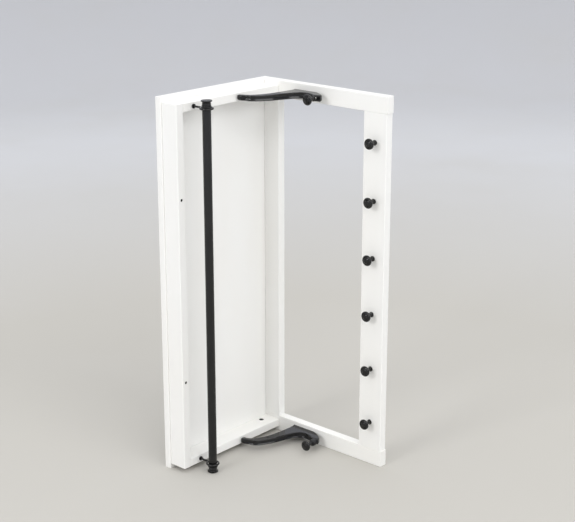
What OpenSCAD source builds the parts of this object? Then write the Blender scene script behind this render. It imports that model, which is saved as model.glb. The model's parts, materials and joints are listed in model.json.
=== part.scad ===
// Wall-mounted hat and coat shelf with a hanging rail, standing on its left end.
// In use +X points down the wall, +Y points into the wall and +Z points to the right,
// so the shelf's top is the -X side and the coat knobs point along -Y.

/* [Overall] */
// Length of the whole shelf
length = 850; // [600:2:1200]
// Height of the back frame on the wall
back_h = 368; // [340:2:440]
// Depth of the shelf out from the wall
shelf_d = 340; // [300:2:400]

/* [Boards] */
// Thickness of the shelf's top board
top_t = 16; // [16:1:20]
// Thickness of the back frame's boards
frame_t = 20; // [18:1:24]
// Width of the two stiles of the back frame
stile_w = 38; // [38:1:50]
// Depth of the apron and end boards, measured from the shelf's top
apron_depth = 60; // [58:1:75]
// Thickness of the front apron
apron_t = 20; // [18:1:24]
// Thickness of the two end boards
end_t = 19; // [18:1:22]
// How far the apron and end boards stand in from the top board's ends
end_inset = 11; // [8:1:14]
// How far the top board's lip stands out past the apron
lip = 3; // [1:0.5:6]
// Width of the rail that carries the knobs
knob_rail_w = 62; // [55:1:70]
// How far the stiles' ends stand past the knob rail
stile_horn = 2; // [0:0.5:4]
// Radius of the eased edges along the boards
ease = 1.5; // [0.5:0.5:2]

/* [Knobs and brackets] */
// Number of coat knobs on the rail
knob_count = 6; // [6:1:6]
// Diameter of a knob's head
knob_d = 24; // [22:1:28]
// How far a knob stands out
knob_out = 25; // [22:1:28]
// Thickness of the cast brackets at their tips
bracket_t = 12; // [10:1:13]
// Thickness of the cast brackets against the stiles
bracket_root_t = 15; // [13:1:16]
// Diameter of the boss that carries a bracket's knob
boss_d = 16; // [14:1:18]

/* [Hanging rail] */
// Outside diameter of the rail tube
rod_d = 19; // [16:0.5:19.5]
// Wall thickness of the rail tube
rod_wall = 1.2; // [1:0.1:2]
// Distance from the apron's lower edge down to the rail's axis
rod_drop = 39; // [34:1:44]
// Distance from the wall to the rail's axis
rod_out = 287; // [270:1:290]
// Diameter of the wire of the eye screws
wire_d = 4.6; // [4:0.1:5]
// Inside diameter of the eyes
eye_d = 21.6; // [21:0.1:22]

/* [Hidden] */
$fn = 48;
cut = 1;
slack = 0.05;
clearance = 0.2;

apron_y = -shelf_d + lip;
apron_in_y = apron_y + apron_t;
rail_in = back_h - stile_horn - knob_rail_w;
rail_mid = back_h - stile_horn - knob_rail_w / 2;
knob_pitch = (length - 2 * stile_w) / knob_count;
end_mid = end_inset + end_t / 2;

// Dowels, given by how far they stand from the edges of the boards that they join
dowel_r = 4;
dowel_len = 25;
top_dowel_x = [top_t + 10, apron_depth - 10];
knob_rail_dowel_x = [rail_in + 14, rail_in + knob_rail_w - 14];
front_dowel_x = top_t + 13;
shelf_dowel_in = 10;
shelf_dowel_reach = 14;
stile_dowel_z = 10;
end_dowel_y = [-100, -220];
shelf_dowel_z = [length / 5, length / 2, length * 4 / 5];
apron_dowel_shift = 70;

// Screws and cam fittings
screw_r = 2;
screw_head_r = 4;
screw_head_len = 2.2;
knob_bore = 10;
knob_grip = 8;
cam_r = 6;
cam_depth = 12.5;
cam_below = 0.4;
cam_slot = [9, 1.4, 2];
cam_from_joint = 32;
cam_x = top_t + 15;
cam_bolt_r = 3;
cam_bolt_end = 4;
cam_thread = 11;
apron_screw_below = 1;
apron_screw_tip = 6;
apron_screw_r = 2;
apron_screw_head_r = 3.2;
apron_screw_head = 3;
apron_hole_r = 3.4;
apron_screw_gap = 416;
apron_screw_z = [(length - apron_screw_gap) / 2, (length + apron_screw_gap) / 2];
cross_slot = [0.9, 1.4];

// Brackets, drawn in the plane of the shelf's end, with their outer faces flat
bracket_mid = 20;
bracket_low = bracket_mid - bracket_t / 2;
apex_x = apron_depth + 48;
leg_end_x = apron_depth + 106;
boss_x = apron_depth + 135;
boss_y = -58;
boss_len = 17;
leg_screw_x = [apex_x + 14, leg_end_x - 10];
leg_screw_in = 12;
tip_y = -151;
tip_pin_r = 2;
tip_pin_len = 18;
arc_steps = 12;

// Eye screws and the ends of the rail
eye_flange_r = 5;
eye_flange_t = 2;
eye_thread_r = 2.2;
eye_thread_len = 20;
eye_z = [end_mid, length - end_mid];
rod_x = apron_depth + rod_drop;
collar_r = eye_d / 2 + 0.6;
collar_t = 1.8;
finial_len = 14.7;
finial_d = 24;
plug_len = 15;
stop_gap = 0.3;
rod_top = length - end_mid + wire_d / 2 + stop_gap;
rod_bottom = 15.5;

// Keyhole hanger plates let into the backs of the stiles
plate_h = 50;
plate_w = 22;
plate_t = 1.8;
plate_x = 80;
key_r = 4.5;
key_slot_r = 2.3;
key_slot = 11;
key_pocket_r = 5;
key_pocket = 12;
plate_screw_r = 1.5;
plate_screw_len = 12;
plate_screw_at = 19;

WHITE = [0.96, 0.96, 0.95];
BLACK = [0.09, 0.09, 0.09];
STEEL = [0.70, 0.70, 0.68];
BEECH = [0.80, 0.66, 0.46];

// Moves the corner frame (shelf top, wall face, left end) to the middle of the base
module place() {
    translate([-back_h / 2, shelf_d / 2, 0]) children();
}

// Repeats a child at the right end as the mirror image of the left end
module other_end() {
    translate([0, 0, length]) mirror([0, 0, 1]) children();
}

module both_ends() {
    children();
    other_end() children();
}

// A cylinder along +X, from x0 to x1
module rod_along_x(x0, x1, r) {
    translate([x0, 0, 0]) rotate([0, 90, 0]) cylinder(h = x1 - x0, r = r);
}

// A cylinder along Y, from y0 up to y1
module rod_along_y(y0, y1, r) {
    translate([0, y1, 0]) rotate([90, 0, 0]) cylinder(h = y1 - y0, r = r);
}

// A rectangle with eased corners
module eased_rect(w, h) {
    translate([ease, 0]) square([w - 2 * ease, h]);
    translate([0, ease]) square([w, h - 2 * ease]);
    for (x = [ease, w - ease])
        for (y = [ease, h - ease])
            translate([x, y]) circle(r = ease);
}

// Boards run along Z, X or Y, with their long edges eased
module board_z(x0, x1, y0, y1, z0, z1) {
    translate([x0, y0, z0]) linear_extrude(z1 - z0) eased_rect(x1 - x0, y1 - y0);
}

module board_x(x0, x1, y0, y1, z0, z1) {
    translate([x0, y0, z1]) rotate([0, 90, 0]) linear_extrude(x1 - x0) eased_rect(z1 - z0, y1 - y0);
}

module board_y(x0, x1, y0, y1, z0, z1) {
    translate([x0, y1, z0]) rotate([90, 0, 0]) linear_extrude(y1 - y0) eased_rect(x1 - x0, z1 - z0);
}

// ---- Joinery, used both as the pieces and, with some slack, as their bores ----

module frame_dowel_set(r, len) {
    for (x = concat(top_dowel_x, knob_rail_dowel_x))
        translate([x, -frame_t / 2, stile_w - len / 2]) cylinder(h = len, r = r);
}

module shelf_dowel(y, z, r, deep) {
    translate([0, y, z]) rod_along_x(top_t - shelf_dowel_in - deep, top_t + shelf_dowel_reach + deep, r);
}

module shelf_dowel_set(r, deep) {
    both_ends() {
        shelf_dowel(-frame_t / 2, stile_dowel_z, r, deep);
        for (y = end_dowel_y) shelf_dowel(y, end_mid, r, deep);
    }
    for (z = shelf_dowel_z) {
        shelf_dowel(-frame_t / 2, z, r, deep);
        shelf_dowel(apron_y + apron_t / 2, z - apron_dowel_shift, r, deep);
    }
}

// Dowels between the apron and the end boards
module front_dowel(r, len) {
    translate([front_dowel_x, apron_in_y, end_mid]) rod_along_y(-len / 2, len / 2, r);
}

// The cam sits in the end board, one bolt's length from the stile
module cam_place() {
    translate([cam_x, -frame_t, end_mid]) children();
}

module cam_bore() {
    translate([0, -cam_from_joint, end_t / 2 - cam_depth]) cylinder(h = cam_depth + cut, r = cam_r);
    rod_along_y(-cam_from_joint, cut, cam_bolt_r + clearance);
}

module bolt_bore() {
    rod_along_y(-cut, cam_thread + slack, cam_bolt_r - 0.5 + slack);
}

module apron_screw_bores() {
    for (z = apron_screw_z)
        translate([0, apron_y + apron_t / 2, z]) {
            rod_along_x(apron_screw_tip - slack, apron_depth, apron_screw_r + slack);
            rod_along_x(apron_depth - apron_screw_below - apron_screw_head, apron_depth + cut, apron_hole_r);
        }
}

// ---- Boards ----

module top_board() {
    color(WHITE) place() difference() {
        board_z(0, top_t, -shelf_d, 0, 0, length);
        shelf_dowel_set(dowel_r + slack, slack);
        apron_screw_bores();
    }
}

module front_apron() {
    color(WHITE) place() difference() {
        board_z(top_t, apron_depth, apron_y, apron_in_y, end_inset, length - end_inset);
        shelf_dowel_set(dowel_r + slack, slack);
        apron_screw_bores();
        both_ends() front_dowel(dowel_r + slack, dowel_len + 2 * slack);
    }
}

module end_board() {
    difference() {
        board_y(top_t, apron_depth, apron_in_y, -frame_t, end_inset, end_inset + end_t);
        shelf_dowel_set(dowel_r + slack, slack);
        front_dowel(dowel_r + slack, dowel_len + 2 * slack);
        cam_place() cam_bore();
        translate([apron_depth - eye_thread_len, -rod_out, end_mid])
            rod_along_x(-slack, eye_thread_len + cut, eye_thread_r + slack);
        translate([apron_depth, tip_y, bracket_mid])
            rod_along_x(-tip_pin_len / 2 - slack, cut, tip_pin_r + slack);
    }
}

module end_board_left() {
    color(WHITE) place() end_board();
}

module end_board_right() {
    color(WHITE) place() other_end() end_board();
}

// Bores in a stile for the screws that come through it from behind
module leg_screw_bores() {
    for (x = leg_screw_x)
        translate([x, 0, bracket_mid]) {
            rod_along_y(-frame_t - cut, cut, screw_r + clearance);
            countersink(screw_head_r + clearance);
        }
}

// A countersink whose mouth is at y = 0 and opens towards +Y
module countersink(r) {
    rotate([-90, 0, 0]) translate([0, 0, -screw_head_len - clearance])
        cylinder(h = screw_head_len + clearance, r1 = screw_r, r2 = r);
}

// Recess for the hanger plate and the pocket behind its keyhole
module hanger_recess() {
    translate([plate_x - plate_h / 2 - clearance, -plate_t, stile_w / 2 - plate_w / 2 - clearance])
        cube([plate_h + 2 * clearance, plate_t + cut, plate_w + 2 * clearance]);
    translate([plate_x, 0, stile_w / 2]) {
        rod_along_y(-key_pocket, cut, key_pocket_r);
        translate([-key_slot, 0, 0]) rod_along_y(-key_pocket, cut, key_pocket_r);
        translate([-key_slot, -key_pocket, -key_pocket_r])
            cube([key_slot, key_pocket + cut, 2 * key_pocket_r]);
        for (s = [-1, 1])
            translate([s * plate_screw_at, 0, 0])
                rod_along_y(-plate_screw_len - slack, cut, plate_screw_r + slack);
    }
}

module stile() {
    difference() {
        board_x(top_t, back_h, -frame_t, 0, 0, stile_w);
        frame_dowel_set(dowel_r + slack, dowel_len + 2 * slack);
        shelf_dowel_set(dowel_r + slack, slack);
        cam_place() bolt_bore();
        leg_screw_bores();
        hanger_recess();
    }
}

module stile_left() {
    color(WHITE) place() stile();
}

module stile_right() {
    color(WHITE) place() other_end() stile();
}

module top_rail() {
    color(WHITE) place() difference() {
        board_z(top_t, apron_depth, -frame_t, 0, stile_w, length - stile_w);
        both_ends() frame_dowel_set(dowel_r + slack, dowel_len + 2 * slack);
        shelf_dowel_set(dowel_r + slack, slack);
    }
}

function knob_z(i) = stile_w + knob_pitch * (i - 0.5);

module knob_rail() {
    color(WHITE) place() difference() {
        board_z(rail_in, back_h - stile_horn, -frame_t, 0, stile_w, length - stile_w);
        both_ends() frame_dowel_set(dowel_r + slack, dowel_len + 2 * slack);
        for (i = [1 : knob_count])
            translate([rail_mid, 0, knob_z(i)]) {
                rod_along_y(-frame_t - cut, cut, screw_r + clearance);
                countersink(screw_head_r + clearance);
            }
    }
}

// ---- Brackets ----

// Points of a cubic curve from p0 to p3, without its last point
function curve(p0, p1, p2, p3) = [
    for (i = [0 : arc_steps - 1])
        let (t = i / arc_steps, s = 1 - t)
            p0 * s * s * s + p1 * 3 * s * s * t + p2 * 3 * s * t * t + p3 * t * t * t
];

// Outline in X and Y, clockwise from the corner that bears on the stile
function bracket_outline() =
    let (
        x = apron_depth,
        y = -frame_t,
        apex = [apex_x, y],
        leg_end = [leg_end_x, y],
        boss_top = [boss_x + 9, y - 26],
        boss_low = [boss_x - 8, y - 30],
        valley = [x + 103, y - 20],
        shoulder = [x + 76, y - 39],
        belly = [x + 62, y - 84],
        wrist = [x + 27, y - 130],
        tip_low = [x + 7, tip_y - 6.5],
        tip = [x, tip_y],
        tip_high = [x + 7, tip_y + 7],
        crook = [x + 41, y - 85]
    ) concat(
        [apex],
        curve(leg_end, leg_end + [16, 0], boss_top + [0, 14], boss_top),
        curve(boss_low, boss_low + [-6, 6], valley + [11, -2], valley),
        curve(valley, valley + [-12, 2], shoulder + [5, 11], shoulder),
        curve(shoulder, shoulder + [-6, -15], belly + [4, 15], belly),
        curve(belly, belly + [-7, -18], wrist + [18, 2], wrist),
        curve(wrist, wrist + [-8, -1], tip_low + [7, -1], tip_low),
        curve(tip_low, tip_low + [-4, 0], tip + [0, -4], tip),
        curve(tip, tip + [0, 4], tip_high + [-4, 0], tip_high),
        curve(tip_high, tip_high + [16, 0], crook + [-4, -15], crook),
        curve(crook, crook + [5, 19], apex + [1, -26], apex)
    );

// The space between the flat outer face and the inner face, which leans out to the stile
module bracket_wedge() {
    far_y = tip_y - bracket_t;
    inner_tip = bracket_low + bracket_t;
    inner_root = bracket_low + bracket_root_t;
    lean = (inner_root - inner_tip) / (-frame_t - tip_y);
    rotate([90, 0, 90]) linear_extrude(back_h) polygon([
        [far_y, bracket_low],
        [0, bracket_low],
        [0, inner_root + lean * frame_t],
        [far_y, inner_tip - lean * bracket_t]
    ]);
}

// The round boss that carries a bracket's knob, with its end at y = 0
module boss() {
    r = boss_d / 2;
    rotate([-90, 0, 0]) rotate_extrude() polygon(concat(
        [[0, 0], [r - 1.6, 0]],
        curve([r - 1.6, 0], [r - 0.4, 1], [r, 4], [r, 7]),
        curve([r, 7], [r, 11], [r - 1.5, boss_len - 2], [r - 3, boss_len]),
        [[r - 3, boss_len], [0, boss_len]]
    ));
}

module bracket() {
    difference() {
        union() {
            intersection() {
                linear_extrude(bracket_low + bracket_root_t + stile_w) polygon(bracket_outline());
                bracket_wedge();
            }
            translate([boss_x, boss_y, bracket_mid]) boss();
        }
        for (x = leg_screw_x)
            translate([x, -frame_t, bracket_mid])
                rod_along_y(-leg_screw_in - slack, cut, screw_r + slack);
        translate([boss_x, 0, bracket_mid])
            rod_along_y(boss_y - cut, boss_y + knob_bore, screw_r + slack);
        translate([apron_depth, tip_y, bracket_mid])
            rod_along_x(-cut, tip_pin_len / 2 + slack, tip_pin_r + slack);
    }
}

module bracket_left() {
    color(BLACK) place() bracket();
}

module bracket_right() {
    color(BLACK) place() other_end() bracket();
}

// ---- Knobs ----

// Half profile of a knob: radius against distance out from its seat
function knob_profile() =
    let (
        r = knob_d / 2,
        neck_r = 3.4,
        foot_r = 6,
        button_r = r * 0.54,
        neck_out = knob_out * 0.54,
        back_out = knob_out * 0.7,
        rim_out = knob_out * 0.82,
        face_out = knob_out * 0.94
    ) concat(
        [[0, 0], [foot_r, 0], [foot_r, 1.4]],
        curve([foot_r, 1.4], [foot_r, 2.2], [neck_r, 2], [neck_r, 4.5]),
        curve([neck_r, neck_out], [neck_r, back_out], [r - 4, back_out - 0.6], [r - 1.5, back_out]),
        curve([r - 1.5, back_out], [r - 0.3, back_out + 0.4], [r, rim_out - 1.5], [r, rim_out]),
        curve([r, rim_out], [r, rim_out + 1.5], [r - 1.5, face_out], [r - 3, face_out]),
        [[button_r + 0.8, face_out + 0.3], [button_r + 0.4, face_out - 0.2], [button_r, face_out + 0.3]],
        curve([button_r, face_out + 0.3], [button_r * 0.7, knob_out], [button_r * 0.3, knob_out],
            [0, knob_out]),
        [[0, knob_out]]
    );

// A knob whose seat is at y = 0, pointing along -Y
module knob() {
    difference() {
        rotate([90, 0, 0]) rotate_extrude() polygon(knob_profile());
        rod_along_y(-knob_bore, cut, screw_r + slack);
    }
}

module rail_knob(i) {
    color(BLACK) place() translate([rail_mid, -frame_t, knob_z(i)]) knob();
}

module bracket_knob_left() {
    color(BLACK) place() translate([boss_x, boss_y, bracket_mid]) knob();
}

module bracket_knob_right() {
    color(BLACK) place() translate([boss_x, boss_y, length - bracket_mid]) knob();
}

// ---- Hanging rail ----

module eye_screw(z) {
    ring_r = (eye_d + wire_d) / 2;
    translate([apron_depth, -rod_out, z]) {
        rod_along_x(-eye_thread_len, 1, eye_thread_r);
        rod_along_x(0, eye_flange_t, eye_flange_r);
        rod_along_x(0, rod_drop - ring_r, wire_d / 2);
        translate([rod_drop, 0, 0]) rotate_extrude() translate([ring_r, 0]) circle(d = wire_d);
    }
}

module eye_screw_left() {
    color(BLACK) place() eye_screw(eye_z[0]);
}

module eye_screw_right() {
    color(BLACK) place() eye_screw(eye_z[1]);
}

module rail_rod() {
    color(BLACK) place() translate([rod_x, -rod_out, rod_bottom]) difference() {
        cylinder(h = rod_top - rod_bottom, d = rod_d);
        translate([0, 0, -cut]) cylinder(h = rod_top - rod_bottom + 2 * cut, d = rod_d - 2 * rod_wall);
    }
}

// A turned finial with its collar's bearing face at z = 0 and its plug below it
module finial() {
    plug_r = rod_d / 2 - rod_wall - slack;
    drum_r = rod_d / 2;
    disc_r = finial_d / 2;
    chamfer = 0.4;
    bead = [drum_r - 0.3, collar_t + 1, collar_t + 3.4];
    groove = [drum_r - 0.8, 9.2, 9.8];
    disc_z = finial_len - 2.2;
    rotate_extrude() polygon(concat(
        [[0, -plug_len], [plug_r, -plug_len], [plug_r, 0]],
        [[collar_r - chamfer, 0], [collar_r, chamfer]],
        [[collar_r, collar_t - chamfer], [collar_r - chamfer, collar_t], [bead[0], collar_t]],
        curve([bead[0], bead[1]], [bead[0] + 1.2, bead[1]], [bead[0] + 1.2, bead[2]], [bead[0], bead[2]]),
        [[bead[0], bead[2]], [drum_r, bead[2] + 0.5], [drum_r, groove[1] - 0.3]],
        [[groove[0], groove[1]], [groove[0], groove[2]]],
        curve([drum_r - 0.4, groove[2] + 0.3], [drum_r, disc_z], [disc_r - 1, disc_z - 0.8],
            [disc_r, disc_z]),
        [[disc_r, disc_z], [disc_r, finial_len - chamfer], [disc_r - chamfer, finial_len], [0, finial_len]]
    ));
}

module finial_left() {
    color(BLACK) place() translate([rod_x, -rod_out, rod_bottom]) mirror([0, 0, 1]) finial();
}

module finial_right() {
    color(BLACK) place() translate([rod_x, -rod_out, rod_top]) finial();
}

// ---- Fasteners ----

// A countersunk screw with its head's face at y = 0, pointing along -Y
module countersunk_screw(len) {
    difference() {
        union() {
            rod_along_y(-len, -screw_head_len + 0.01, screw_r);
            rotate([-90, 0, 0]) translate([0, 0, -screw_head_len])
                cylinder(h = screw_head_len, r1 = screw_r, r2 = screw_head_r);
        }
        for (a = [0, 90])
            rotate([0, a, 0]) translate([-2.2, -cross_slot[1], -cross_slot[0] / 2])
                cube([4.4, cross_slot[1] + cut, cross_slot[0]]);
    }
}

module knob_screws() {
    color(STEEL) place() for (i = [1 : knob_count])
        translate([rail_mid, 0, knob_z(i)]) countersunk_screw(frame_t + knob_grip);
}

module bracket_knob_studs() {
    color(STEEL) place() both_ends() translate([boss_x, boss_y, bracket_mid])
        rod_along_y(-knob_grip, knob_grip, screw_r);
}

module bracket_screws() {
    color(STEEL) place() both_ends() for (x = leg_screw_x)
        translate([x, 0, bracket_mid]) countersunk_screw(frame_t + leg_screw_in - 1);
}

module bracket_tip_pins() {
    color(STEEL) place() both_ends() translate([apron_depth, tip_y, bracket_mid])
        rod_along_x(-tip_pin_len / 2, tip_pin_len / 2, tip_pin_r);
}

// The round lock with its crossed slot and the window that takes the bolt's end
module cam_lock() {
    lock_r = cam_r - 0.15;
    lock_top = end_t / 2 - cam_below;
    lock_bottom = end_t / 2 - cam_depth + clearance;
    translate([0, -cam_from_joint, 0]) difference() {
        translate([0, 0, lock_bottom]) cylinder(h = lock_top - lock_bottom, r = lock_r);
        rod_along_y(0, cam_r + cut, cam_bolt_r + clearance);
        for (a = [0, 90])
            rotate([0, 0, a]) translate([-cam_slot[0] / 2, -cam_slot[1] / 2, lock_top - cam_slot[2]])
                cube([cam_slot[0], cam_slot[1], cam_slot[2] + cut]);
    }
}

module cam_locks() {
    color(BLACK) place() both_ends() cam_place() cam_lock();
}

module cam_bolts() {
    color(STEEL) place() both_ends() cam_place() {
        rod_along_y(-cut, cam_thread, cam_bolt_r - 0.5);
        rod_along_y(-cam_from_joint + cam_bolt_end, -slack, cam_bolt_r);
    }
}

// A pan-headed screw whose head ends just inside the apron's lower edge
module apron_screws() {
    head_x = apron_depth - apron_screw_below;
    color(BLACK) place() for (z = apron_screw_z)
        translate([0, apron_y + apron_t / 2, z]) difference() {
            union() {
                rod_along_x(apron_screw_tip, head_x - cut, apron_screw_r);
                rod_along_x(head_x - apron_screw_head + slack, head_x, apron_screw_head_r);
            }
            for (a = [0, 90])
                rotate([a, 0, 0]) translate([head_x - cross_slot[1], -2, -cross_slot[0] / 2])
                    cube([cross_slot[1] + cut, 4, cross_slot[0]]);
        }
}

module frame_dowels() {
    color(BEECH) place() both_ends() {
        frame_dowel_set(dowel_r, dowel_len);
        front_dowel(dowel_r, dowel_len);
    }
}

module shelf_dowels() {
    color(BEECH) place() shelf_dowel_set(dowel_r, 0);
}

// Keyhole plate, flush with the back of the stile
module hanger_plate() {
    difference() {
        translate([plate_x - plate_h / 2, -plate_t, stile_w / 2 - plate_w / 2])
            cube([plate_h, plate_t, plate_w]);
        translate([plate_x, 0, stile_w / 2]) {
            rod_along_y(-plate_t - cut, cut, key_r);
            translate([-key_slot, 0, 0]) rod_along_y(-plate_t - cut, cut, key_slot_r);
            translate([-key_slot, -plate_t - cut, -key_slot_r])
                cube([key_slot, plate_t + 2 * cut, 2 * key_slot_r]);
            for (s = [-1, 1])
                translate([s * plate_screw_at, 0, 0])
                    rod_along_y(-plate_t - cut, cut, plate_screw_r + slack);
        }
    }
}

module hanger_plate_left() {
    color(STEEL) place() hanger_plate();
}

module hanger_plate_right() {
    color(STEEL) place() other_end() hanger_plate();
}

module hanger_screws() {
    color(STEEL) place() both_ends() for (s = [-1, 1])
        translate([plate_x + s * plate_screw_at, 0, stile_w / 2])
            rod_along_y(-plate_screw_len, 0, plate_screw_r);
}

top_board();
front_apron();
end_board_left();
end_board_right();
stile_left();
stile_right();
top_rail();
knob_rail();
bracket_left();
bracket_right();
rail_knob(1);  // rail_knob_1
rail_knob(2);  // rail_knob_2
rail_knob(3);  // rail_knob_3
rail_knob(4);  // rail_knob_4
rail_knob(5);  // rail_knob_5
rail_knob(6);  // rail_knob_6
bracket_knob_left();
bracket_knob_right();
eye_screw_left();
eye_screw_right();
rail_rod();
finial_left();
finial_right();
knob_screws();
bracket_knob_studs();
bracket_screws();
bracket_tip_pins();
cam_locks();
cam_bolts();
apron_screws();
frame_dowels();
shelf_dowels();
hanger_plate_left();
hanger_plate_right();
hanger_screws();
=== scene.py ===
"""Looks of the wall-mounted hat and coat shelf, standing on its left end on a studio floor."""

import json
import math

import bmesh
import bpy
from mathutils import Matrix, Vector

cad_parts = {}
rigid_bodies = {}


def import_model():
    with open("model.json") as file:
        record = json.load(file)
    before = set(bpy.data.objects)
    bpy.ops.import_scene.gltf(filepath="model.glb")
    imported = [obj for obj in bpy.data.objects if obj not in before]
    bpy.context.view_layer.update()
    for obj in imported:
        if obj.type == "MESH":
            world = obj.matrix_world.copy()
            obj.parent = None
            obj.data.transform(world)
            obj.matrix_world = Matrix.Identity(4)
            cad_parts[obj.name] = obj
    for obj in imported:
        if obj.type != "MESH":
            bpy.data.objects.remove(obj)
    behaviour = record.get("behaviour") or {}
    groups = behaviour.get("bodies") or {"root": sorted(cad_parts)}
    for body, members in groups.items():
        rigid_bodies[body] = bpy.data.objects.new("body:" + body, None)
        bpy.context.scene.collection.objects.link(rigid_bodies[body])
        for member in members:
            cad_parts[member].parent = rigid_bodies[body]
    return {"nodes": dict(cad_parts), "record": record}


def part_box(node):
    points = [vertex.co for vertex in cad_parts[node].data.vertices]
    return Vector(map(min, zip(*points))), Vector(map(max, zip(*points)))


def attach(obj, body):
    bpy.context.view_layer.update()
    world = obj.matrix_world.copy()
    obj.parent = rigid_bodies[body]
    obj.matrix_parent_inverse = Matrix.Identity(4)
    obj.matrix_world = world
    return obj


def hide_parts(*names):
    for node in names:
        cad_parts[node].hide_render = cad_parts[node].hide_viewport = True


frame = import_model()
NODES = frame["nodes"]
BODY_OF = {n: body for body, members in frame["record"]["behaviour"]["bodies"].items() for n in members}
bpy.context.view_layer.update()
MM = 0.001

# The camera
CAMERA_AZIMUTH = 41.62
CAMERA_ELEVATION = 17.33
CAMERA_DISTANCE = 3.010
CAMERA_TARGET = Vector((0.0083, 0.0311, 0.4823))
CAMERA_LENS = 86.2
CAMERA_CLIP = (0.05, 60.0)

# Rounding of the boards' sawn ends, in metres
WELD = 2e-6
ON_END = 1e-5
FLAT_ANGLE = math.radians(0.3)
END_RIM = 2 * MM
END_ROUND = 0.9 * MM
END_SEGMENTS = 3

# The casting's outline, in millimetres down the wall (x) and out from the wall (y) from the
# shelf's lower edge: each stop's point, the handles before and after it, and how much of the
# hollow in the casting's side is left there. The first stretch is the straight leg on the wall.
CAST_STOPS = [
    ((48, 0), (1, 26), (0, 0), 0),
    ((106, 0), (0, 0), (16, 0), 0),
    ((144, 26), (0, -14), (0, 0), 0),
    ((127, 30), (0, 0), (-6, -6), 0),
    ((103, 20), (11, 2), (-12, -2), 1),
    ((76, 39), (5, -11), (-6, 15), 1),
    ((62, 84), (4, -15), (-7, 18), 1),
    ((27, 130), (18, -2), (-8, 1), 1),
    ((7, 137.5), (7, 1), (-4, 0), 0),
    ((0, 131), (0, 4), (0, -4), 0),
    ((7, 124), (-4, 0), (16, 0), 0),
    ((41, 85), (-4, 15), (5, -19), 1),
]
CURVE_STEPS = 12
MITRE_LIMIT = 0.5

# The casting's faces as heights along the row, its edges' radii and the depth of its hollow, in
# millimetres
CAST_OUTER = -6.0
CAST_INNER_AT_TIP = 6.0
CAST_INNER_AT_WALL = 9.0
CAST_ROUND = 1.5
CAST_ROUND_AT_TIP = 4.0
CAST_ROUND_AT_WALL = 0.8
CAST_ROUND_STEPS = 6
CAST_HOLLOW = 1.9
CAST_HOLLOW_STEPS = 8

# The boss on the casting: radius against distance in from the knob's seat, in millimetres
BOSS_PROFILE = [
    (0.0, 0.0), (6.4, 0.0), (7.1, 0.4), (7.6, 1.4), (7.9, 3.0), (8.0, 5.5),
    (8.0, 8.0), (7.8, 11.0), (7.2, 13.5), (6.2, 15.6), (5.0, 17.0), (0.0, 17.0),
]
BOSS_TURNS = 48

# Colours
PAINT = (0.890, 0.888, 0.868)
PAINT_WARM = (0.875, 0.866, 0.832)
CAST_BLACK = (0.005, 0.005, 0.006)
CAST_BLACK_WORN = (0.009, 0.009, 0.010)
ENAMEL = (0.004, 0.004, 0.004)
ENAMEL_CLOUD = (0.008, 0.008, 0.008)
ZINC_DARK = (0.58, 0.58, 0.55)
ZINC_LIGHT = (0.74, 0.73, 0.68)
BEECH = (0.62, 0.43, 0.25)
BEECH_FLECK = (0.45, 0.28, 0.15)
GLOSS_IOR = 1.45

# The studio, in metres, degrees and watts
FLOOR_RADIUS = 4.5
FLOOR_INNER_RADIUS = 2.25
WALL_BEND = 1.8
WALL_TOP = 2.3
BEND_STEPS = 14
SWEEP_TURNS = 96
# Floor colours: near the object darker and warmer as painted shade, far out darker as painted falloff of light;
# the worn colour is real mottling
FLOOR_NEAR_PAINTED_SHADE = (0.51, 0.495, 0.46)
FLOOR_MID = (0.62, 0.63, 0.657)
FLOOR_FAR_PAINTED_FALLOFF = (0.515, 0.522, 0.553)
FLOOR_WORN = (0.53, 0.52, 0.495)
PAINTED_SHADE_FADE = (1.2, 3.4)
PAINTED_FALLOFF_FADE = (3.6, 6.3)
ROOM_BACK = (0.92, 0.94, 1.00)
ROOM_FRONT = (0.40, 0.40, 0.40)
ROOM_TOP = (1.18, 1.18, 1.18)
ROOM_TO_FRONT = (-0.25, 0.55)
ROOM_TO_TOP = (0.40, 0.85)
LIGHT_TARGET = Vector((0, 0, 0.4))
LIGHT_DISTANCE = 8.0
LIGHTS = {
    "front": {"azimuth": -4, "elevation": 25, "size": 2.6, "power": 192},
    "side": {"azimuth": 76, "elevation": 27, "size": 7.0, "power": 425},
}


def towards(azimuth, elevation):
    """Unit vector from the object to a viewer at these angles, in degrees."""
    a, e = math.radians(azimuth), math.radians(elevation)
    return Vector((math.sin(a) * math.cos(e), -math.cos(a) * math.cos(e), math.sin(e)))


def new_object(name, data):
    obj = bpy.data.objects.new(name, data)
    bpy.context.scene.collection.objects.link(obj)
    return obj


def new_mesh(name, bm):
    mesh = bpy.data.meshes.new(name)
    bm.to_mesh(mesh)
    bm.free()
    return mesh


def aim(obj, direction, target, distance):
    """Stand an object off from a target along a direction, facing the target."""
    obj.location = target + direction * distance
    obj.rotation_mode = "QUATERNION"
    obj.rotation_quaternion = (-direction).to_track_quat("-Z", "Y")


# ---------------------------------------------------------------- node helpers


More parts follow.
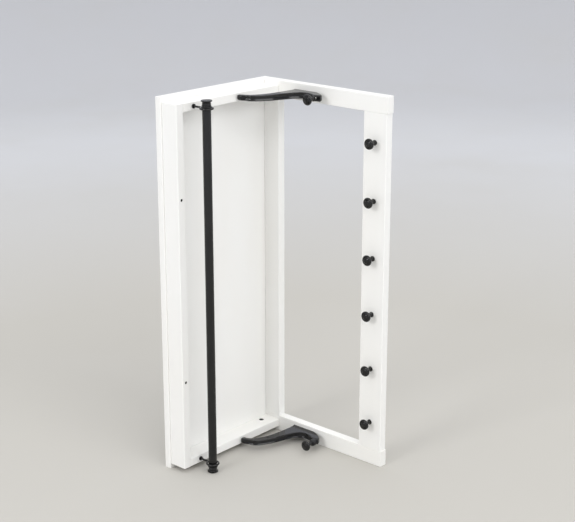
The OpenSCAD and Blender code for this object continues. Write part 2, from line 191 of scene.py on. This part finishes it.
class Tree:
    """Short ways to add nodes to a node tree."""

    def __init__(self, owner):
        owner.use_nodes = True
        self.nodes = owner.node_tree.nodes
        self.links = owner.node_tree.links

    def feed(self, value, socket):
        """Link an output to a socket, or set the socket to a number or a colour."""
        if isinstance(value, (int, float)):
            socket.default_value = value
        elif isinstance(value, tuple):
            socket.default_value = (*value, 1.0)
        else:
            self.links.new(value, socket)

    def ramp(self, value, low, high, to_low=0.0, to_high=1.0, smooth=False):
        node = self.nodes.new("ShaderNodeMapRange")
        node.interpolation_type = "SMOOTHSTEP" if smooth else "LINEAR"
        node.inputs["From Min"].default_value = low
        node.inputs["From Max"].default_value = high
        node.inputs["To Min"].default_value = to_low
        node.inputs["To Max"].default_value = to_high
        self.feed(value, node.inputs["Value"])
        return node.outputs["Result"]

    def mix(self, factor, a, b):
        node = self.nodes.new("ShaderNodeMix")
        node.data_type = "RGBA"
        self.feed(factor, node.inputs["Factor"])
        self.feed(a, node.inputs["A"])
        self.feed(b, node.inputs["B"])
        return node.outputs["Result"]

    def vector_math(self, kind, vector, other=None):
        node = self.nodes.new("ShaderNodeVectorMath")
        node.operation = kind
        self.feed(vector, node.inputs[0])
        if other is not None:
            node.inputs[1].default_value = other
        return node.outputs["Value"]


class Shader(Tree):
    """A Principled material, with its patterns in metres in the object's frame."""

    def __init__(self, name, **sockets):
        self.material = bpy.data.materials.new(name)
        super().__init__(self.material)
        self.principled = self.nodes["Principled BSDF"]
        for socket, value in sockets.items():
            self.hook(socket.replace("_", " "), value)

    def hook(self, socket, value):
        self.feed(value, self.principled.inputs[socket])

    def place(self, stretch=(1, 1, 1)):
        """Object coordinates, stretched along each axis."""
        coords = self.nodes.new("ShaderNodeTexCoord")
        mapping = self.nodes.new("ShaderNodeMapping")
        mapping.inputs["Scale"].default_value = stretch
        self.feed(coords.outputs["Object"], mapping.inputs["Vector"])
        return mapping.outputs["Vector"]

    def noise(self, scale, detail, rough=0.5, stretch=(1, 1, 1)):
        node = self.nodes.new("ShaderNodeTexNoise")
        node.inputs["Scale"].default_value = scale
        node.inputs["Detail"].default_value = detail
        node.inputs["Roughness"].default_value = rough
        self.feed(self.place(stretch), node.inputs["Vector"])
        return node.outputs["Fac"]

    def add(self, a, b):
        node = self.nodes.new("ShaderNodeMath")
        node.operation = "ADD"
        self.feed(a, node.inputs[0])
        self.feed(b, node.inputs[1])
        return node.outputs["Value"]

    def bump(self, height, distance, strength, under=None):
        node = self.nodes.new("ShaderNodeBump")
        node.inputs["Distance"].default_value = distance
        node.inputs["Strength"].default_value = strength
        self.feed(height, node.inputs["Height"])
        if under is not None:
            self.feed(under, node.inputs["Normal"])
        return node.outputs["Normal"]

    def tint(self, pattern, first, second, low=0.3, high=0.7):
        """Colour that goes from the first to the second as the pattern rises from low to high."""
        self.hook("Base Color", self.mix(self.ramp(pattern, low, high), first, second))

    def gloss(self, pattern, smoothest, roughest, low=0.3, high=0.7):
        """Roughness that rises with the pattern."""
        self.hook("Roughness", self.ramp(pattern, low, high, smoothest, roughest))


# ---------------------------------------------------------------- materials


def along(axis, ratio):
    """A stretch that draws a pattern out along one axis."""
    return tuple(1.0 / ratio if i == axis else 1.0 for i in range(3))


def white_paint(name, axis):
    """Satin white paint over planed wood whose grain runs along one axis."""
    s = Shader(name, Specular_IOR_Level=0.45)
    patch = s.noise(7.0, 3.0, stretch=along(axis, 2.5))
    grain = s.noise(420.0, 3.0, 0.6, stretch=along(axis, 28.0))
    roller = s.noise(900.0, 2.0)
    s.tint(patch, PAINT, PAINT_WARM, 0.35, 0.75)
    s.gloss(s.add(patch, roller), 0.34, 0.46, 0.7, 1.3)
    s.hook("Normal", s.bump(roller, 0.00006, 0.5, under=s.bump(grain, 0.00012, 0.55)))
    return s.material


def black_cast(name):
    """Gloss black paint over cast iron, with a fine sand texture."""
    s = Shader(name, IOR=GLOSS_IOR)
    sand = s.noise(520.0, 3.0, 0.6)
    swell = s.noise(55.0, 2.0)
    s.tint(swell, CAST_BLACK, CAST_BLACK_WORN)
    s.gloss(sand, 0.06, 0.12)
    s.hook("Normal", s.bump(sand, 0.00002, 0.5, under=s.bump(swell, 0.0003, 0.3)))
    return s.material


def black_metal(name):
    """Semi-gloss black paint on turned metal."""
    s = Shader(name, IOR=GLOSS_IOR)
    dimple = s.noise(700.0, 2.0)
    cloud = s.noise(60.0, 3.0)
    s.tint(cloud, ENAMEL, ENAMEL_CLOUD)
    s.gloss(cloud, 0.08, 0.13)
    s.hook("Normal", s.bump(dimple, 0.00002, 0.4))
    return s.material


def zinc_steel(name):
    """Bright zinc plating with a faint spangle."""
    s = Shader(name, Metallic=1.0)
    spangle = s.noise(350.0, 4.0, 0.6)
    s.tint(spangle, ZINC_DARK, ZINC_LIGHT)
    s.gloss(spangle, 0.24, 0.42)
    s.hook("Normal", s.bump(spangle, 0.00004, 0.5))
    return s.material


def beech(name):
    """Plain beech with short darker flecks along the dowel."""
    s = Shader(name)
    fleck = s.noise(900.0, 4.0, 0.6, stretch=along(2, 9.0))
    s.tint(fleck, BEECH, BEECH_FLECK, 0.4, 0.7)
    s.gloss(fleck, 0.5, 0.7)
    s.hook("Normal", s.bump(fleck, 0.0001, 0.5))
    return s.material


def studio_floor(name):
    """Pale matt floor, darker and warmest around the object as painted shade, and a little cooler and darker
    further out as painted falloff of light.
    """
    s = Shader(name, Specular_IOR_Level=0.2, Roughness=0.7)
    distance = s.vector_math("LENGTH", s.place((1, 1, 0)))
    # Painted shade around the object fades to the lit floor colour, then painted falloff of light far out
    floor = s.mix(s.ramp(distance, *PAINTED_SHADE_FADE), FLOOR_NEAR_PAINTED_SHADE, FLOOR_MID)
    floor = s.mix(s.ramp(distance, *PAINTED_FALLOFF_FADE), floor, FLOOR_FAR_PAINTED_FALLOFF)
    worn = s.mix(s.ramp(s.noise(3.0, 3.0), 0.3, 0.7), floor, FLOOR_WORN)
    s.hook("Base Color", s.mix(s.ramp(s.noise(1.3, 2.0), 0.4, 0.9, 0.0, 0.5), floor, worn))
    return s.material


# ---------------------------------------------------------------- boards


def set_material(obj, material):
    obj.data.materials.clear()
    obj.data.materials.append(material)


def stand_in(piece, node, material):
    """Let a piece stand in for a CAD node: give it the material, put it on the node's body and hide the node.
    """
    set_material(piece, material)
    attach(piece, BODY_OF[node])
    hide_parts(node)


def face_normals(piece):
    normals = piece.modifiers.new("face normals", "WEIGHTED_NORMAL")
    normals.keep_sharp = True


def mark_end_rims(bm, low, high, axis):
    """Give a bevel weight to the edges around the two sawn ends."""
    sides = [i for i in range(3) if i != axis]
    weight = bm.edges.layers.float.new("bevel_weight_edge")
    for edge in bm.edges:
        ends = [v.co for v in edge.verts]
        middle = (ends[0] + ends[1]) / 2
        on_end = any(all(abs(v[axis] - plane[axis]) < ON_END for v in ends) for plane in (low, high))
        inset = min(min(middle[i] - low[i], high[i] - middle[i]) for i in sides)
        edge[weight] = 1.0 if on_end and inset < END_RIM else 0.0


def painted_board(node, axis, material):
    """A copy of a board whose sawn ends are rounded over like its long edges."""
    low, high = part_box(node)
    mesh = NODES[node].data.copy()
    mesh.name = node + "_painted"
    bm = bmesh.new()
    bm.from_mesh(mesh)
    bmesh.ops.remove_doubles(bm, verts=bm.verts, dist=WELD)
    bmesh.ops.dissolve_limit(bm, angle_limit=FLAT_ANGLE, verts=bm.verts, edges=bm.edges)
    mark_end_rims(bm, low, high, axis)
    bm.to_mesh(mesh)
    bm.free()
    if "custom_normal" in mesh.attributes:
        mesh.attributes.remove(mesh.attributes["custom_normal"])
    mesh.shade_smooth()
    piece = new_object(mesh.name, mesh)
    bevel = piece.modifiers.new("rounded ends", "BEVEL")
    bevel.width = END_ROUND
    bevel.segments = END_SEGMENTS
    bevel.limit_method = "WEIGHT"
    bevel.use_clamp_overlap = False
    face_normals(piece)
    stand_in(piece, node, material)


def make_boards():
    upright = white_paint("white paint upright", 2)
    across = white_paint("white paint across", 0)
    outward = white_paint("white paint outward", 1)
    for node in ("top_board", "front_apron", "top_rail", "knob_rail"):
        painted_board(node, 2, upright)
    for node in ("stile_left", "stile_right"):
        painted_board(node, 0, across)
    for node in ("end_board_left", "end_board_right"):
        painted_board(node, 1, outward)


# ---------------------------------------------------------------- brackets


def bezier(p0, p1, p2, p3):
    """Points of a cubic curve, without its last point."""
    points = []
    for i in range(CURVE_STEPS):
        t = i / CURVE_STEPS
        s = 1 - t
        points.append(p0 * s ** 3 + p1 * (3 * s * s * t) + p2 * (3 * s * t * t) + p3 * t ** 3)
    return points


def cast_outline():
    """Outline points in millimetres, running round the casting, and the hollow left at each."""
    points, hollows = [], []
    for i, (stop, _, leaving, hollow) in enumerate(CAST_STOPS):
        next_stop, arriving, _, next_hollow = CAST_STOPS[(i + 1) % len(CAST_STOPS)]
        a, b = Vector(stop), Vector(next_stop)
        if i == 0:
            points += [a.lerp(b, t / CURVE_STEPS) for t in range(CURVE_STEPS)]
        else:
            points += bezier(a, a + Vector(leaving), b + Vector(arriving), b)
        hollows += [hollow + (next_hollow - hollow) * t / CURVE_STEPS for t in range(CURVE_STEPS)]
    area = sum(a.x * b.y - b.x * a.y for a, b in zip(points, points[1:] + points[:1]))
    if area < 0:
        points.reverse()
        hollows.reverse()
    return points, hollows


def inward(points, i):
    """Mitred inward direction at a point of a closed outline."""
    before = (points[i] - points[i - 1]).normalized()
    after = (points[(i + 1) % len(points)] - points[i]).normalized()
    n1, n2 = Vector((-before.y, before.x)), Vector((-after.y, after.x))
    mean = (n1 + n2).normalized()
    return mean / max(mean.dot(n1), MITRE_LIMIT)


def cast_section(point, hollow, reach):
    """Inset and height of the casting's side at an outline point, from outer to inner face."""
    off_wall = min(point.y / CAST_ROUND_AT_TIP, 1.0)
    full = CAST_ROUND_AT_TIP + (CAST_ROUND - CAST_ROUND_AT_TIP) * hollow
    radius = CAST_ROUND_AT_WALL + (full - CAST_ROUND_AT_WALL) * off_wall
    inner = CAST_INNER_AT_WALL + (CAST_INNER_AT_TIP - CAST_INNER_AT_WALL) * point.y / reach
    flat = inner - CAST_OUTER - 2 * radius
    quarter = [math.pi / 2 * k / CAST_ROUND_STEPS for k in range(CAST_ROUND_STEPS + 1)]
    across = [k / CAST_HOLLOW_STEPS for k in range(1, CAST_HOLLOW_STEPS)]
    section = [(radius * (1 - math.cos(a)), CAST_OUTER + radius * (1 - math.sin(a))) for a in reversed(quarter)]
    section += [(hollow * CAST_HOLLOW * math.sin(math.pi * t), CAST_OUTER + radius + flat * t) for t in across]
    section += [(radius * (1 - math.cos(a)), inner - radius * (1 - math.sin(a))) for a in quarter]
    return section


def cast_shell(name, corner, up):
    """The rounded casting. Its inner face leans outwards from the tip to the wall."""
    outline, hollows = cast_outline()
    inwards = [inward(outline, i) for i in range(len(outline))]
    reach = max(p.y for p in outline)
    sections = [cast_section(point, hollow, reach) for point, hollow in zip(outline, hollows)]
    bm = bmesh.new()
    rings = []
    for level in zip(*sections):
        ring = []
        for (inset, height), point, direction in zip(level, outline, inwards):
            flat = point + direction * inset
            place = (corner.x + flat.x * MM, corner.y - flat.y * MM, corner.z + up * height * MM)
            ring.append(bm.verts.new(place))
        rings.append(ring)
    count = len(outline)
    for lower, upper in zip(rings, rings[1:]):
        for i in range(count):
            k = (i + 1) % count
            bm.faces.new((lower[i], lower[k], upper[k], upper[i]))
    bm.faces.new(rings[0])
    bm.faces.new(rings[-1])
    bmesh.ops.recalc_face_normals(bm, faces=bm.faces)
    return new_object(name, new_mesh(name, bm))


def turned_boss(name, centre, direction):
    """The boss as a closed turned shape whose axis runs from centre along direction."""
    turn = Vector((0, 0, 1)).rotation_difference(direction)
    bm = bmesh.new()
    rings = []
    for radius, distance in BOSS_PROFILE:
        if radius == 0:
            rings.append([bm.verts.new(centre + direction * distance * MM)])
            continue
        ring = []
        for k in range(BOSS_TURNS):
            a = 2 * math.pi * k / BOSS_TURNS
            local = Vector((radius * math.cos(a), radius * math.sin(a), distance)) * MM
            ring.append(bm.verts.new(centre + turn @ local))
        rings.append(ring)
    for a, b in zip(rings, rings[1:]):
        for k in range(BOSS_TURNS):
            n = (k + 1) % BOSS_TURNS
            corners = [a[0]] if len(a) == 1 else [a[k], a[n]]
            corners += [b[0]] if len(b) == 1 else [b[n], b[k]]
            bm.faces.new(corners)
    bmesh.ops.recalc_face_normals(bm, faces=bm.faces)
    return new_object(name, new_mesh(name, bm))


def make_bracket(side, material):
    """The casting and its boss as one closed piece in the CAD bracket's place."""
    node = "bracket_" + side
    name = node + "_cast"
    low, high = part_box(node)
    knob_low, knob_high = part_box("bracket_knob_" + side)
    knob_axis = (knob_low + knob_high) / 2
    up = 1 if side == "left" else -1
    piece = cast_shell(name, Vector((low.x, high.y, knob_axis.z)), up)
    boss = turned_boss("boss", Vector((knob_axis.x, knob_high.y, knob_axis.z)), Vector((0, 1, 0)))
    union = piece.modifiers.new("boss", "BOOLEAN")
    union.operation = "UNION"
    union.solver = "EXACT"
    union.object = boss
    evaluated = piece.evaluated_get(bpy.context.evaluated_depsgraph_get())
    joined = bpy.data.meshes.new_from_object(evaluated)
    joined.name = name
    joined.shade_smooth()
    piece.modifiers.clear()
    piece.data = joined
    bpy.data.objects.remove(boss)
    face_normals(piece)
    stand_in(piece, node, material)


def make_brackets():
    cast = black_cast("black cast iron")
    for side in ("left", "right"):
        make_bracket(side, cast)


# ---------------------------------------------------------------- the other CAD pieces


def finish_cad_nodes():
    by_slot = {
        "black_metal": black_metal("black paint on metal"),
        "zinc_steel": zinc_steel("zinc plated steel"),
        "dowel_wood": beech("beech dowel"),
    }
    for part in frame["record"]["subparts"]:
        if part["material_slot"] in by_slot:
            set_material(NODES[part["node"]], by_slot[part["material_slot"]])


# ---------------------------------------------------------------- studio


def make_sweep():
    """A round studio floor that bends up into a wall."""
    profile = [(FLOOR_INNER_RADIUS, 0.0)]
    for i in range(BEND_STEPS + 1):
        t = math.pi / 2 * i / BEND_STEPS
        profile.append((FLOOR_RADIUS + WALL_BEND * math.sin(t), WALL_BEND * (1 - math.cos(t))))
    profile.append((FLOOR_RADIUS + WALL_BEND, WALL_TOP))
    bm = bmesh.new()
    centre = bm.verts.new((0, 0, 0))
    rings = []
    for radius, height in profile:
        ring = []
        for k in range(SWEEP_TURNS):
            a = 2 * math.pi * k / SWEEP_TURNS
            ring.append(bm.verts.new((radius * math.cos(a), radius * math.sin(a), height)))
        rings.append(ring)
    for k in range(SWEEP_TURNS):
        n = (k + 1) % SWEEP_TURNS
        bm.faces.new((centre, rings[0][k], rings[0][n]))
        for inner, outer in zip(rings, rings[1:]):
            bm.faces.new((inner[k], outer[k], outer[n], inner[n]))
    mesh = new_mesh("studio sweep", bm)
    mesh.shade_smooth()
    sweep = new_object("studio_sweep", mesh)
    set_material(sweep, studio_floor("studio sweep"))


def make_world():
    """A room that is bright overhead and behind the object, and dimmer in front of it."""
    world = bpy.data.worlds.new("studio")
    room = Tree(world)
    direction = room.nodes.new("ShaderNodeTexCoord").outputs["Generated"]
    in_front = room.vector_math("DOT_PRODUCT", direction, towards(CAMERA_AZIMUTH, 0))
    overhead = room.vector_math("DOT_PRODUCT", direction, Vector((0, 0, 1)))
    level = room.mix(room.ramp(in_front, *ROOM_TO_FRONT, smooth=True), ROOM_BACK, ROOM_FRONT)
    level = room.mix(room.ramp(overhead, *ROOM_TO_TOP, smooth=True), level, ROOM_TOP)
    room.feed(level, room.nodes["Background"].inputs["Color"])
    bpy.context.scene.world = world


def make_lights():
    for name, light in LIGHTS.items():
        data = bpy.data.lights.new(name, "AREA")
        data.shape = "SQUARE"
        data.size = light["size"]
        data.energy = light["power"]
        lamp = new_object(name, data)
        lamp.visible_camera = False
        aim(lamp, towards(light["azimuth"], light["elevation"]), LIGHT_TARGET, LIGHT_DISTANCE)


def make_camera():
    data = bpy.data.cameras.new("camera")
    data.lens = CAMERA_LENS
    data.clip_start, data.clip_end = CAMERA_CLIP
    camera = new_object("camera", data)
    aim(camera, towards(CAMERA_AZIMUTH, CAMERA_ELEVATION), CAMERA_TARGET, CAMERA_DISTANCE)
    bpy.context.scene.camera = camera


def set_view():
    view = bpy.context.scene.view_settings
    view.view_transform = "Standard"
    view.look = "None"
    view.exposure = 0.0


def clear_defaults():
    """Remove the objects of a new Blender file."""
    for obj in list(bpy.data.objects):
        if obj.name in ("Cube", "Light", "Camera"):
            bpy.data.objects.remove(obj)


clear_defaults()
make_camera()
make_boards()
make_brackets()
finish_cad_nodes()
make_sweep()
make_world()
make_lights()
set_view()
